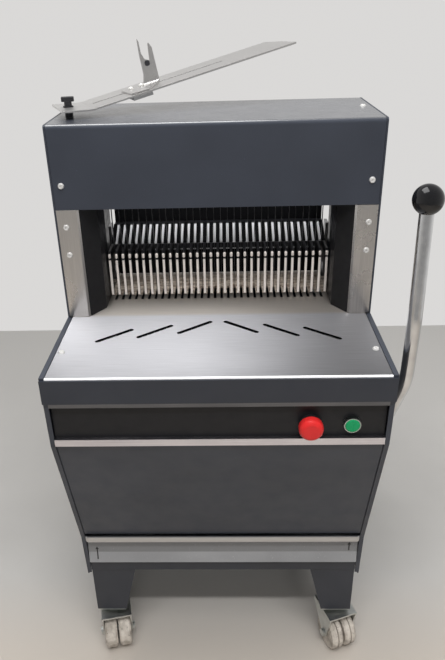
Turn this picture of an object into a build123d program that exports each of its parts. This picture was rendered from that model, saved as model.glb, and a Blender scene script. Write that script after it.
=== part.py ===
"""Floor-standing lever bread slicer: one STEP file per piece, in millimetres.

X points right, Y points back and Z points up. The origin is on the floor, below the middle of the machine.
The pose drawn is the rest pose: pusher at the front end of its travel, lever upright, drawer shut.
"""

from build123d import *
import os
from math import atan2, cos, hypot, radians, sin, tan

# Overall sizes
WIDTH = 560.0
DEPTH = 640.0
FRONT = -300.0
TABLE_Z = 757.0
HOOD_TOP = 1104.0
HOOD_HEIGHT = 142.0
HOOD_FRONT = -78.0
HOOD_REAR = 162.0
BASE_Z = 220.0
CASTER_HEIGHT = 108.0

# Sheet metal
SKIN = 3.0
SHEET = 2.0
FLANGE = 8.0
GAP = 0.5
RUNNING_FIT = 0.05

# Slicing: finger and blade spacing, and the places of the two blade sets along Y
PITCH = 13.0
SIDE_ROOM = 72.0
BLADE_WIDTH = 9.0
BLADE_THICK = 0.5
BLADE_Y = 42.0
FRAME_SPLIT = 10.0
FRAME_THICK = 8.0
BLADE_STROKE = 40.0

# Pusher and lever
STROKE = 190.0
SWING = 60.0
LEVER_Y = -142.0
LEVER_DROP = 247.0
LEVER_STANDOFF = 30.0
ROLLER_R = 11.0
ROLLER_PLAY = 2.5

# Drive
ROD_LENGTH = 100.0
CRANK_PULLEY_R = 90.0
MOTOR_PULLEY_R = 32.0
MOTOR_R = 66.0
MOTOR_LONG = 223.0
MOTOR_INSET = 145.0
MOTOR_FOOT = 5.0
BELT_INSET = 65.0

# Values that follow from the sizes above
HALF = WIDTH / 2
REAR = FRONT + DEPTH
INNER = HALF - SKIN
BETWEEN = INNER - GAP
LANE = HALF - FLANGE - GAP
LEVER_X = HALF + LEVER_STANDOFF
LEVER_Z = TABLE_Z - LEVER_DROP
MOTOR_Y = REAR - MOTOR_INSET
BELT_X = HALF - BELT_INSET
HOOD_BOTTOM = HOOD_TOP - HOOD_HEIGHT
CRANK_THROW = BLADE_STROKE / 2
FINGERS = 2 * int((HALF - SIDE_ROOM) / PITCH) + 1
FINGER_XS = [PITCH * (i - (FINGERS - 1) / 2) for i in range(FINGERS)]
BLADE_XS = [x + PITCH / 2 for x in FINGER_XS[:-1]]
COMB_HALF = PITCH * (FINGERS - 1) / 2

# Side outline, as (Y, Z) points: two knees in the front edge
KNEE_HIGH = (FRONT + 7.0, TABLE_Z - 135.0)
KNEE_LOW = (FRONT + 96.0, BASE_Z + 110.0)
TOE = (FRONT + 106.0, BASE_Z)
TAIL_Z = TABLE_Z + 93.0
SHOULDER_Z = HOOD_BOTTOM - 32.0

# Pusher rails and the lane that its side plates run in
CARRIAGE_INSET = 61.0
CARRIAGE_X = HALF - CARRIAGE_INSET
CARRIAGE_THICK = 6.0
CARRIAGE_DROP = 29.0
CARRIAGE_TALL = 80.0
CARRIAGE_HIGH = TABLE_Z - CARRIAGE_DROP
CARRIAGE_LOW = CARRIAGE_HIGH - CARRIAGE_TALL
RAIL_R = 6.0
BUSH_HALF = 13.0
RAIL_X = CARRIAGE_X - 8.0
RAIL_Z = CARRIAGE_HIGH - BUSH_HALF - 7.0


def block(x, y, z):
    """Box between two corners, each axis given as a (low, high) pair."""
    size = [high - low for low, high in (x, y, z)]
    middle = [(high + low) / 2 for low, high in (x, y, z)]
    return Pos(*middle) * Box(*size)


def rod_x(x, y, z, radius):
    """Round bar along X between the two values of x."""
    return Pos((x[0] + x[1]) / 2, y, z) * Rot(0, 90, 0) * Cylinder(radius, x[1] - x[0])


def rod_y(x, y, z, radius):
    """Round bar along Y between the two values of y."""
    return Pos(x, (y[0] + y[1]) / 2, z) * Rot(90, 0, 0) * Cylinder(radius, y[1] - y[0])


def rod_z(x, y, z, radius):
    """Round bar along Z between the two values of z."""
    return Pos(x, y, (z[0] + z[1]) / 2) * Cylinder(radius, z[1] - z[0])


def outline_face(points):
    """Flat polygon through the points, ordered counter-clockwise so that it faces forwards."""
    turns = [a[0] * b[1] - b[0] * a[1] for a, b in zip(points, [*points[1:], points[0]])]
    ordered = points if sum(turns) > 0 else points[::-1]
    return Polygon(*ordered, align=None)


def slab_yz(points, x):
    """Polygon of (Y, Z) points, thickened along X."""
    face = Plane.YZ.offset(x[0]) * outline_face(points)
    return extrude(face, amount=x[1] - x[0])


def slab_xy(points, z):
    """Polygon of (X, Y) points, thickened along Z."""
    face = Plane.XY.offset(z[0]) * outline_face(points)
    return extrude(face, amount=z[1] - z[0])


def slab_xz(points, y):
    """Polygon of (X, Z) points, thickened along Y."""
    face = Plane.XZ.offset(-y[0]) * outline_face(points)
    return extrude(face, amount=-(y[1] - y[0]))


def both_sides(shape):
    """The shape and its mirror image on the other side of the machine."""
    return [shape, mirror(shape, about=Plane.YZ)]


def toward(start, end, distance):
    """Point at a distance from start on the way to end."""
    span = hypot(end[0] - start[0], end[1] - start[1])
    share = distance / span
    return (start[0] + (end[0] - start[0]) * share, start[1] + (end[1] - start[1]) * share)


def beside(start, end, depth):
    """Start and end, both moved sideways by depth, to the left of the way from start to end."""
    span = hypot(end[0] - start[0], end[1] - start[1])
    step = (-(end[1] - start[1]) / span * depth, (end[0] - start[0]) / span * depth)
    return [(p[0] + step[0], p[1] + step[1]) for p in (start, end)]


# Housing


def side_outline():
    """Outline of a side panel as (Y, Z) points, from the toe round by the table, hood and tail."""
    return [
        TOE,
        KNEE_LOW,
        KNEE_HIGH,
        (FRONT + 1.0, TABLE_Z + 1.0),
        (HOOD_FRONT, TABLE_Z + 1.0),
        (HOOD_FRONT, HOOD_TOP),
        (HOOD_REAR, HOOD_TOP),
        (HOOD_REAR, SHOULDER_Z),
        (REAR, TAIL_Z),
        (REAR, BASE_Z),
    ]


def side_panel(side):
    """Side sheet with an inward flange along its front edge and along the table."""
    outline = outline_face(side_outline())
    rounded = fillet(outline.vertices().sort_by(Axis.Y)[-3:], 5.0)
    sheet = extrude(Plane.YZ.offset(INNER) * rounded, amount=SKIN)
    rim = extrude(Plane.YZ.offset(HALF - FLANGE) * outline, amount=FLANGE - SKIN)
    rim -= extrude(Plane.YZ.offset(HALF - FLANGE) * offset(outline, -SKIN), amount=FLANGE - SKIN)
    rim &= block((0, WIDTH), (FRONT, HOOD_FRONT - SKIN), (BASE_Z + SKIN, TABLE_Z + SKIN))
    panel = sheet + rim
    if side < 0:
        return [mirror(panel, about=Plane.YZ)]
    return [panel - rod_x((0, WIDTH), LEVER_Y, LEVER_Z, SHAFT_R + 1.5)]


def hood_cover():
    """Folded cover over the top of the blades, with short return lips below."""
    lip = 16.0
    corner = 7.0
    outer = [
        (HOOD_FRONT, HOOD_BOTTOM),
        (HOOD_FRONT, HOOD_TOP),
        (HOOD_REAR - GAP, HOOD_TOP),
        (HOOD_REAR - GAP, HOOD_BOTTOM),
    ]
    outline = outline_face(outer)
    shell = fillet(outline.vertices().group_by(Axis.Y)[-1], corner)
    hollow = fillet(offset(outline, -SHEET).vertices().group_by(Axis.Y)[-1], corner - SHEET)
    ring = extrude(Plane.YZ.offset(-BETWEEN) * shell, amount=2 * BETWEEN)
    ring -= extrude(Plane.YZ.offset(-BETWEEN) * hollow, amount=2 * BETWEEN)
    mouth = (HOOD_FRONT + lip, HOOD_REAR - lip)
    return [ring - block((-HALF, HALF), mouth, (HOOD_BOTTOM - SHEET, HOOD_BOTTOM + 2 * SHEET))]


POST_WIDTH = 39.0
POST_INNER = HALF - POST_WIDTH
CHEEK_X = COMB_HALF + 5.5


def post_plates():
    """Stainless plate on each side of the opening, with a bevelled inner edge."""
    bevel = 3.5
    thick = SHEET
    outline = [
        (BETWEEN, HOOD_FRONT),
        (POST_INNER, HOOD_FRONT),
        (POST_INNER - bevel, HOOD_FRONT + bevel),
        (POST_INNER - bevel + thick * 0.7, HOOD_FRONT + bevel + thick * 0.7),
        (POST_INNER + thick * 0.41, HOOD_FRONT + thick),
        (BETWEEN, HOOD_FRONT + thick),
    ]
    return both_sides(slab_xy(outline, (TABLE_Z + GAP, HOOD_BOTTOM - GAP)))


def guide_cheeks():
    """Black funnel walls that lead the sliced loaf out past the posts."""
    mouth = (POST_INNER - 4.5, HOOD_FRONT + 5.0)
    throat = (CHEEK_X, HOOD_FRONT + 40.0)
    end = (CHEEK_X, BLADE_Y - 16.0)
    wall = SKIN
    back_mouth, back_throat = beside(mouth, throat, -wall)
    outline = [mouth, throat, end, (CHEEK_X + wall, end[1]), (CHEEK_X + wall, back_throat[1]), back_mouth]
    return both_sides(slab_xy(outline, (TABLE_Z + GAP, HOOD_BOTTOM - GAP)))


TABLE_BACK = BLADE_Y - 20.0
TABLE_SEAM = BLADE_Y + 54.0
TABLE_LEVEL = (TABLE_Z - SKIN, TABLE_Z)
BLADE_SLOT = 5.0


def cut_blade_slots(table, along):
    """The table with a slot below every gap between two fingers, over that stretch of Y."""
    for x in BLADE_XS:
        table -= block((x - BLADE_SLOT / 2, x + BLADE_SLOT / 2), along, TABLE_LEVEL)
    return table


def front_table():
    """Stainless delivery table with a rounded front edge, six angled slots and slots in its rear edge."""
    top = block((-LANE, LANE), (FRONT + 1.0, TABLE_BACK), TABLE_LEVEL)
    top = fillet(top.edges().filter_by(Axis.X).group_by(Axis.Y)[0].sort_by(Axis.Z)[-1], SHEET)
    angled = SlotOverall(76.5, 8.5)
    first = (LANE - 90.0, HOOD_FRONT - 76.0)
    step = (-70.25, 14.0)
    turn = 38.0
    for i in range(3):
        x, y = (first[axis] + i * step[axis] for axis in (0, 1))
        for sign in (1, -1):
            cut = Pos(-sign * x, y, TABLE_Z - SKIN) * Rot(0, 0, sign * turn) * angled
            top -= extrude(cut, amount=SKIN)
    depth = 22.0
    return [cut_blade_slots(top, (TABLE_BACK - depth, TABLE_BACK))]


def rear_table():
    """Stainless loading table with blade slots in its front edge, on a cross bar and the rear panel."""
    half = CARRIAGE_X - 5.0
    front = TABLE_BACK + 3.0
    slot_end = BLADE_Y + 16.0
    seam = (TABLE_SEAM, TABLE_SEAM + 1.5)
    bar = (seam[0] + 3.0, seam[0] + 15.0)
    top = block((-half, half), (front, REAR - SKIN - 1.5), TABLE_LEVEL)
    top = cut_blade_slots(top, (front, slot_end))
    top -= block((-half, half), seam, (TABLE_Z - SKIN / 2, TABLE_Z))
    return [top + block((-BETWEEN, BETWEEN), bar, (CARRIAGE_HIGH + 7.0, TABLE_Z - SKIN))]


def side_liners():
    """Inner walls of the loading bay, folded over to the side panels along their top edge."""
    inset = 17.0
    wall = (INNER - inset, INNER - inset + SHEET)
    front = BLADE_Y + 34.0
    top = HOOD_BOTTOM - 8.0
    tail = (REAR - SKIN - 2.0, TAIL_Z - 6.0)
    shoulder = (HOOD_REAR + 1.0, SHOULDER_Z - 6.0)
    sheet = [(front, TABLE_Z), (front, top), (HOOD_REAR - 4.0, top), shoulder, tail, (tail[0], TABLE_Z)]
    fold = [shoulder, tail, *reversed(beside(shoulder, tail, -SHEET))]
    return both_sides(slab_yz(sheet, wall) + slab_yz(fold, (wall[0], BETWEEN)))


APRON_LOW = TABLE_Z - 46.0
STRIP_HIGH = 9.0
PANEL_LOW = KNEE_HIGH[1] + 15.0
PANEL_Y = FRONT + 12.0


def front_apron():
    """Painted board below the table edge, folded back along its lower edge."""
    face = block((-HALF, HALF), (FRONT - 2.0, FRONT + GAP), (APRON_LOW, TABLE_Z - SKIN))
    fold = block((-LANE, LANE), (FRONT + GAP, FRONT + 14.0), (APRON_LOW, APRON_LOW + SHEET))
    return [face + fold]


def trim_strips():
    """Grey strip above the control panel and bright strip below it."""
    upper = block((-LANE, LANE), (FRONT + 1.0, PANEL_Y), (APRON_LOW - STRIP_HIGH, APRON_LOW - 0.2))
    lower = block((-LANE, LANE), (FRONT + 4.0, PANEL_Y), (PANEL_LOW - 13.0, PANEL_LOW))
    return [upper, lower]


START_X = HALF - 63.5
STOP_X = START_X - 67.5
BUTTON_Z = PANEL_LOW + 25.0
STOP_HEAD_R = 20.0
STOP_STEM_R = 11.0
START_R = 11.9
BUTTON_HOLE_R = 13.0


def control_panel():
    """Black panel set back between the strips, with a hole for each button."""
    plate = block((-LANE, LANE), (PANEL_Y, PANEL_Y + SKIN), (PANEL_LOW - 13.0, APRON_LOW - STRIP_HIGH))
    for x in (STOP_X, START_X):
        plate -= rod_y(x, (FRONT, 0), BUTTON_Z, BUTTON_HOLE_R)
    return [plate]


def lower_front_panel():
    """Sloping painted panel between the bright strip and the drawer."""
    start = toward(KNEE_HIGH, KNEE_LOW, 2.0)
    end = toward(KNEE_LOW, KNEE_HIGH, 10.0)
    outer = beside(start, end, 2.0)
    inner = beside(start, end, 2.0 + 2.5)
    return [slab_yz([*outer, *reversed(inner)], (-LANE, LANE))]


GLAND_X = 80.0 - HALF
GLAND_Z = BASE_Z + 80.0
GLAND_R = 10.0
CABLE_R = 5.0


def rear_panel():
    """Painted back sheet below the loading table, with a hole for the cable gland."""
    sheet = block((-BETWEEN, BETWEEN), (REAR - SKIN - 1.0, REAR - 1.0), (BASE_Z + 8.0, TABLE_Z))
    return [sheet - rod_y(GLAND_X, (0, 2 * REAR), GLAND_Z, GLAND_R)]


def cable_gland():
    """Gland in the rear panel with an open bore for the mains cable."""
    inside = REAR - 20.0
    shank = rod_y(GLAND_X, (inside, REAR + 2.0), GLAND_Z, GLAND_R)
    flat = Pos(GLAND_X, REAR - 1.0, GLAND_Z) * Rot(90, 0, 0) * RegularPolygon(14.0, 6)
    nut = extrude(flat, amount=-8.0, dir=(0, -1, 0))
    dome = Pos(GLAND_X, REAR + 11.0, GLAND_Z) * Rot(-90, 0, 0) * Cone(11.5, 8.0, 8.0)
    bore = rod_y(GLAND_X, (inside - 1.0, REAR + 30.0), GLAND_Z, CABLE_R)
    return [shank + nut + dome - bore]


# Base, legs and casters

RAIL_LOW = BASE_Z + 9.0
RAIL_HIGH = BASE_Z + 37.0
LEG_DEPTH = 68.0
LEG_OUTER = LANE
LEG_TOP_WIDTH = 91.0
LEG_FOOT_WIDTH = 62.5
LEG_FRONT = TOE[0] + 4.0
LEG_REAR = REAR - 30.0
CASTER_X = LEG_OUTER - LEG_FOOT_WIDTH / 2
CASTER_YS = (LEG_FRONT + LEG_DEPTH / 2, LEG_REAR - LEG_DEPTH / 2)


def base_frame():
    """Welded rectangle of box rails that everything stands on."""
    height = (RAIL_LOW, RAIL_HIGH)
    width = 30.0
    front = block((-LANE, LANE), (TOE[0] + 1.0, TOE[0] + 1.0 + width), height)
    rear = block((-LANE, LANE), (REAR - 6.0 - width, REAR - 6.0), height)
    frame = front + rear
    for side in both_sides(block((LANE - width, LANE), (TOE[0] + 1.0, REAR - 6.0), height)):
        frame += side
    for y in (MOTOR_Y - 55.0, MOTOR_Y + 55.0):
        frame += block((-LANE, LANE), (y - 12.0, y + 12.0), (RAIL_HIGH - 8.0, RAIL_HIGH))
    return [frame]


def leg(y_front, y_back):
    """Tapered sheet leg for the right side: three walls and a foot plate, open at the back."""
    foot = CASTER_HEIGHT
    outline = [
        (LEG_OUTER, RAIL_LOW),
        (LEG_OUTER - LEG_TOP_WIDTH, RAIL_LOW),
        (LEG_OUTER - LEG_FOOT_WIDTH, foot),
        (LEG_OUTER, foot),
    ]
    hollow = [
        (LEG_OUTER - SKIN, RAIL_LOW),
        (LEG_OUTER - LEG_TOP_WIDTH + SKIN, RAIL_LOW),
        (LEG_OUTER - LEG_FOOT_WIDTH + SKIN, foot + SKIN),
        (LEG_OUTER - SKIN, foot + SKIN),
    ]
    body = slab_xz(outline, sorted((y_front, y_back)))
    step = SKIN if y_front < y_back else -SKIN
    return body - slab_xz(hollow, sorted((y_front + step, y_back)))


def legs():
    """Four legs; the closed wall faces the front on the front pair and the back on the rear pair."""
    front = leg(LEG_FRONT, LEG_FRONT + LEG_DEPTH)
    rear = leg(LEG_REAR, LEG_REAR - LEG_DEPTH)
    return both_sides(front) + both_sides(rear)


WHEEL_R = 37.5
WHEEL_WIDTH = 26.0
WHEEL_SPLIT = 4.0
TRAIL = 26.0
AXLE_R = 5.0
PLATE_THICK = 5.0
PLATE_INSET = 2.25
KINGPIN_R = 7.0
ROOF_FRONT = 48.0
ROOF_BACK = 24.0
CASTERS = {
    "front_left": (-CASTER_X, CASTER_YS[0], 12.0),
    "front_right": (CASTER_X, CASTER_YS[0], 20.0),
    "rear_left": (-CASTER_X, CASTER_YS[1], 4.0),
    "rear_right": (CASTER_X, CASTER_YS[1], -10.0),
}
WORN = ("front_left", "rear_left")


def caster_plates():
    """Top plate of each caster, with the hole that its kingpin turns in."""
    half_x = LEG_FOOT_WIDTH / 2 - PLATE_INSET
    half_y = LEG_DEPTH / 2 - PLATE_INSET
    plates = []
    for x, y, turn in CASTERS.values():
        height = (CASTER_HEIGHT - PLATE_THICK, CASTER_HEIGHT)
        plate = block((x - half_x, x + half_x), (y - half_y, y + half_y), height)
        plates.append(plate - rod_z(x, y, height, KINGPIN_R + RUNNING_FIT))
    return plates


def caster_fork(name):
    """Zinc fork with kingpin and axle, drawn at the origin and then set at its place and turn."""
    x, y, turn = CASTERS[name]
    under = CASTER_HEIGHT - PLATE_THICK - 0.4
    roof = under - 6.0
    wall = 3.0
    inside = WHEEL_WIDTH + WHEEL_SPLIT / 2 + 1.0
    outside = inside + wall
    lip = 4.0
    race = rod_z(0, 0, (roof - 0.5, under), ROOF_BACK)
    kingpin = rod_z(0, 0, (roof, CASTER_HEIGHT - 0.5), KINGPIN_R)
    saddle = block((-outside, outside), (-ROOF_FRONT, ROOF_BACK), (roof - wall, roof))
    saddle += block((-outside, outside), (-ROOF_FRONT, wall - ROOF_FRONT), (roof - lip, roof))
    foot = 2 * AXLE_R
    cheek = [
        (ROOF_BACK, roof),
        (-ROOF_FRONT, roof),
        (-ROOF_FRONT, roof - lip),
        (-TRAIL - foot, WHEEL_R),
        (-TRAIL - foot / 2, WHEEL_R - foot),
        (-TRAIL + foot / 2, WHEEL_R - foot),
        (ROOF_BACK, roof - 2 * lip),
    ]
    fork = race + kingpin + saddle
    for wing in both_sides(slab_yz(cheek, (inside, outside))):
        fork += wing
    nut_r = AXLE_R + 3.0
    fork += rod_x((-outside, outside), -TRAIL, WHEEL_R, AXLE_R)
    for nut in both_sides(rod_x((outside, outside + AXLE_R), -TRAIL, WHEEL_R, nut_r)):
        fork += nut
    return [Pos(x, y, 0) * Rot(0, 0, turn) * fork]


def caster_wheels(name):
    """Two nylon wheels on one axle, with bevelled edges and a groove in each tread, shallow where worn."""
    x, y, turn = CASTERS[name]
    inner = WHEEL_SPLIT / 2
    outer = inner + WHEEL_WIDTH
    middle = (inner + outer) / 2
    edge = 4.0
    groove_half = 1.2
    groove_deep = 0.4 if name in WORN else 4.0
    bore = AXLE_R + RUNNING_FIT
    profile = [
        (inner, bore),
        (inner, WHEEL_R - edge),
        (inner + edge, WHEEL_R),
        (middle - groove_half, WHEEL_R),
        (middle - groove_half, WHEEL_R - groove_deep),
        (middle + groove_half, WHEEL_R - groove_deep),
        (middle + groove_half, WHEEL_R),
        (outer - edge, WHEEL_R),
        (outer, WHEEL_R - edge),
        (outer, bore),
    ]
    wheel = revolve(outline_face(profile), Axis.X)
    place = Pos(x, y, 0) * Rot(0, 0, turn) * Pos(0, -TRAIL, WHEEL_R)
    return [place * half for half in both_sides(wheel)]


# Crumb drawer

DRAWER_FRONT = TOE[0] - 3.0
DRAWER_BACK = BLADE_Y + 33.0
DRAWER_LOW = RAIL_HIGH + 5.0
DRAWER_FACE_TOP = KNEE_LOW[1] - 8.0


def crumb_drawer():
    """Sheet tray under the blades with a light-grey face that kicks out along its lower half."""
    half = LANE - 9.0
    wall = 1.5
    top = KNEE_LOW[1] - 18.0
    tray = block((-half, half), (DRAWER_FRONT + SHEET, DRAWER_BACK), (DRAWER_LOW, top))
    inside = (DRAWER_FRONT + SHEET + wall, DRAWER_BACK - wall)
    tray -= block((wall - half, half - wall), inside, (DRAWER_LOW + wall, top))
    bend = DRAWER_LOW + 21.0
    kick = 4.0
    face = [
        (DRAWER_FRONT, DRAWER_FACE_TOP),
        (DRAWER_FRONT, bend),
        (DRAWER_FRONT - kick, RAIL_HIGH + 1.0),
        (DRAWER_FRONT - kick + SHEET, RAIL_HIGH + 1.0),
        (DRAWER_FRONT + SHEET, bend),
        (DRAWER_FRONT + SHEET, DRAWER_FACE_TOP),
    ]
    return [tray + slab_yz(face, (0.6 - LANE, LANE - 0.6))]


def drawer_handle():
    """Bright lip along the top of the drawer, with rounded front corners."""
    reach = 14.0
    half = LANE - 0.6
    height = (DRAWER_FACE_TOP, DRAWER_FACE_TOP + 15.0)
    lip = block((-half, half), (DRAWER_FRONT - reach, DRAWER_FRONT + SHEET), height)
    corners = lip.edges().filter_by(Axis.Z).group_by(Axis.Y)[0]
    lip = fillet(corners, 6.0)
    long_edges = lip.edges().filter_by(Axis.X).group_by(Axis.Y)[0]
    return [fillet(long_edges, 2.5)]


def drawer_runners():
    """Angle rail on each side that the tray slides on."""
    low = DRAWER_LOW - 4.3
    ledge = block((LANE - 20.0, INNER), (TOE[0] + 12.0, DRAWER_BACK), (low, low + 4.0))
    wall = block((INNER - 3.0, INNER), (TOE[0] + 12.0, DRAWER_BACK), (low, low + 24.0))
    return both_sides(ledge + wall)


# Blade frames and blades

FRAME_WINDOW = CARRIAGE_X + 17.0
FRAME_OUTER = FRAME_WINDOW + 20.0
BAR_HIGH = 40.0
FRAME_TOP = HOOD_TOP - 14.0
FRAME_LOW = CARRIAGE_LOW - 16.0 - BAR_HIGH
EYE_DROP = BLADE_STROKE + 18.0
GUIDE_X = FRAME_OUTER + 9.0
GUIDE_R = 6.0
GUIDE_OFFSET = 8.0
WRIST_R = 6.0
ROD_XS = {"front": HALF - 110.0, "rear": HALF - 160.0}
ROD_WIDTH = 14.0


def set_sign(name):
    """Minus one for the front blade set, plus one for the rear set."""
    return -1 if name == "front" else 1


def frame_y(name):
    """Middle of a blade frame along Y."""
    return BLADE_Y + set_sign(name) * FRAME_SPLIT / 2


def frame_shift(name):
    """Height of a frame at rest: the front set is at the top of its stroke, the rear set at the bottom."""
    return 0.0 if name == "front" else -BLADE_STROKE


def guide_y(name):
    """Place along Y of the rods that a frame slides on."""
    return frame_y(name) + set_sign(name) * GUIDE_OFFSET


def blade_frame(name):
    """Flat frame with guide blocks at its corners and a wrist lug beside each connecting rod."""
    y = frame_y(name)
    thick = (y - FRAME_THICK / 2, y + FRAME_THICK / 2)
    frame = block((-FRAME_OUTER, FRAME_OUTER), thick, (FRAME_LOW, FRAME_TOP))
    frame -= block((-FRAME_WINDOW, FRAME_WINDOW), thick, (FRAME_LOW + BAR_HIGH, FRAME_TOP - BAR_HIGH))
    rod_y_middle = guide_y(name)
    reach = sorted((thick[0] if name == "rear" else thick[1], rod_y_middle + set_sign(name) * 11.0))
    for low in (FRAME_LOW + 10.0, FRAME_TOP - 60.0):
        guide = block((FRAME_OUTER, FRAME_OUTER + 19.0), reach, (low, low + BAR_HIGH))
        guide -= rod_z(GUIDE_X, rod_y_middle, (low, low + BAR_HIGH), GUIDE_R + RUNNING_FIT)
        for part in both_sides(guide):
            frame += part
    lug_x = ROD_XS[name] + ROD_WIDTH / 2 + 3.0
    eye = FRAME_LOW - EYE_DROP
    lug = block((lug_x, lug_x + 8.0), thick, (eye - 10.0, FRAME_LOW))
    lug += rod_x((lug_x - 2.0, lug_x), y, eye, WRIST_R - 2.0)
    for part in both_sides(lug):
        frame += part
    return [Pos(0, 0, frame_shift(name)) * frame]


def blade_set(name):
    """Every second blade, stretched between the bars of its frame."""
    y = frame_y(name)
    side = (y - BLADE_WIDTH / 2, y + BLADE_WIDTH / 2)
    length = (FRAME_LOW + BAR_HIGH, FRAME_TOP - BAR_HIGH)
    first = 0 if name == "front" else 1
    blades = []
    for x in BLADE_XS[first::2]:
        blade = block((x - BLADE_THICK / 2, x + BLADE_THICK / 2), side, length)
        blades.append(Pos(0, 0, frame_shift(name)) * blade)
    return blades


def frame_guide_rods():
    """Upright rods for both frames, each held in a clamp at the foot and at the head."""
    foot = FRAME_LOW - BLADE_STROKE - 30.0
    head = HOOD_TOP - 6.0
    pieces = []
    for name in ("front", "rear"):
        y = guide_y(name)
        rod = rod_z(GUIDE_X, y, (foot, head), GUIDE_R)
        for low in (foot, head - 16.0):
            rod += block((FRAME_OUTER + GAP, INNER), (y - 11.0, y + 11.0), (low, low + 16.0))
        pieces += both_sides(rod)
    return pieces


# Crank drive

CRANK_Z = FRAME_LOW - EYE_DROP - ROD_LENGTH - CRANK_THROW
MOTOR_Z = RAIL_HIGH + MOTOR_FOOT + MOTOR_R
SHAFT_R = 12.0
ECCENTRIC_R = 38.0
STRAP_R = 50.0
BEARING_HALF = 36.0


def crankshaft():
    """Shaft with four eccentrics; front and rear pairs are half a turn apart."""
    reach = INNER - 6.0
    shaft = rod_x((-reach, reach), BLADE_Y, CRANK_Z, SHAFT_R)
    for name, x in ROD_XS.items():
        offset_z = CRANK_THROW if name == "front" else -CRANK_THROW
        half = ROD_WIDTH / 2
        for disc in both_sides(rod_x((x - half, x + half), BLADE_Y, CRANK_Z + offset_z, ECCENTRIC_R)):
            shaft += disc
    return [shaft]


BELT_HALF = 10.0
BELT_GAP = 0.3
BELT_THICK = 3.0
PULLEY_FLANGE = 3.0
PULLEY_HALF = BELT_HALF + PULLEY_FLANGE + GAP


def pulley(y, z, radius, bore):
    """Flanged flat-belt pulley along X."""
    rim = 4.0
    low, high = BELT_X - PULLEY_HALF, BELT_X + PULLEY_HALF
    body = rod_x((low, high), y, z, radius)
    body += rod_x((low, low + PULLEY_FLANGE), y, z, radius + rim)
    body += rod_x((high - PULLEY_FLANGE, high), y, z, radius + rim)
    return body - rod_x((low, high), y, z, bore)


def crank_pulley():
    """Large pulley on the crankshaft, lightened by a ring of holes."""
    body = pulley(BLADE_Y, CRANK_Z, CRANK_PULLEY_R, SHAFT_R)
    holes = 6
    ring_r = 0.6 * CRANK_PULLEY_R
    hole_r = 0.2 * CRANK_PULLEY_R
    for i in range(holes):
        angle = radians(360.0 / holes * i)
        y = BLADE_Y + ring_r * cos(angle)
        z = CRANK_Z + ring_r * sin(angle)
        body -= rod_x((0, WIDTH), y, z, hole_r)
    return [body]


def motor_pulley():
    """Small pulley on the motor shaft."""
    shaft_r = 9.0
    shaft = rod_x((BELT_X - 30.0, BELT_X + 12.0), MOTOR_Y, MOTOR_Z, shaft_r)
    return [pulley(MOTOR_Y, MOTOR_Z, MOTOR_PULLEY_R, shaft_r) + shaft]


def belt_loop(extra):
    """Outline round both pulleys, extra millimetres outside their running faces, as a face in Y and Z."""
    big = CRANK_PULLEY_R + extra
    small = MOTOR_PULLEY_R + extra
    run = hypot(MOTOR_Y - BLADE_Y, MOTOR_Z - CRANK_Z)
    heading = atan2(MOTOR_Z - CRANK_Z, MOTOR_Y - BLADE_Y)
    lean = atan2((run**2 - (big - small) ** 2) ** 0.5, big - small)
    corners = []
    for y, z, radius, order in ((BLADE_Y, CRANK_Z, big, (1, -1)), (MOTOR_Y, MOTOR_Z, small, (-1, 1))):
        for sign in order:
            angle = heading + sign * lean
            corners.append((y + radius * cos(angle), z + radius * sin(angle)))
    loop = outline_face(corners)
    loop += Pos(BLADE_Y, CRANK_Z) * Circle(big)
    loop += Pos(MOTOR_Y, MOTOR_Z) * Circle(small)
    return loop


def drive_belt():
    """Flat belt round the crank pulley and the motor pulley."""
    place = Plane.YZ.offset(BELT_X - BELT_HALF)
    outer = extrude(place * belt_loop(BELT_GAP + BELT_THICK), amount=2 * BELT_HALF)
    inner = extrude(place * belt_loop(BELT_GAP), amount=2 * BELT_HALF)
    return [outer - inner]


def connecting_rods(name):
    """Pair of rods: a strap round the eccentric, a shank and an eye at the height of the wrist lug."""
    x = ROD_XS[name]
    side = (x - ROD_WIDTH / 2, x + ROD_WIDTH / 2)
    centre = CRANK_Z + (CRANK_THROW if name == "front" else -CRANK_THROW)
    rod = rod_x(side, BLADE_Y, centre, STRAP_R)
    rod += block(side, (BLADE_Y - 9.0, BLADE_Y + 9.0), (centre, centre + ROD_LENGTH))
    rod += rod_x(side, BLADE_Y, centre + ROD_LENGTH, WRIST_R + 7.0)
    rod -= rod_x(side, BLADE_Y, centre, ECCENTRIC_R + RUNNING_FIT)
    rod -= rod_x(side, BLADE_Y, centre + ROD_LENGTH, WRIST_R)
    return both_sides(rod)


def bearing(y, z):
    """Square bearing housing on the right side panel."""
    wall = (INNER - 24.0, INNER)
    housing = block(wall, (y - BEARING_HALF, y + BEARING_HALF), (z - BEARING_HALF, z + BEARING_HALF))
    return housing - rod_x(wall, y, z, SHAFT_R + RUNNING_FIT)


def shaft_bearings():
    """Bearing housing at each end of the crankshaft and of the lever shaft."""
    return both_sides(bearing(BLADE_Y, CRANK_Z)) + both_sides(bearing(LEVER_Y, LEVER_Z))


MOTOR_RIGHT = BELT_X - 32.0
MOTOR_LEFT = MOTOR_RIGHT - MOTOR_LONG


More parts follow.
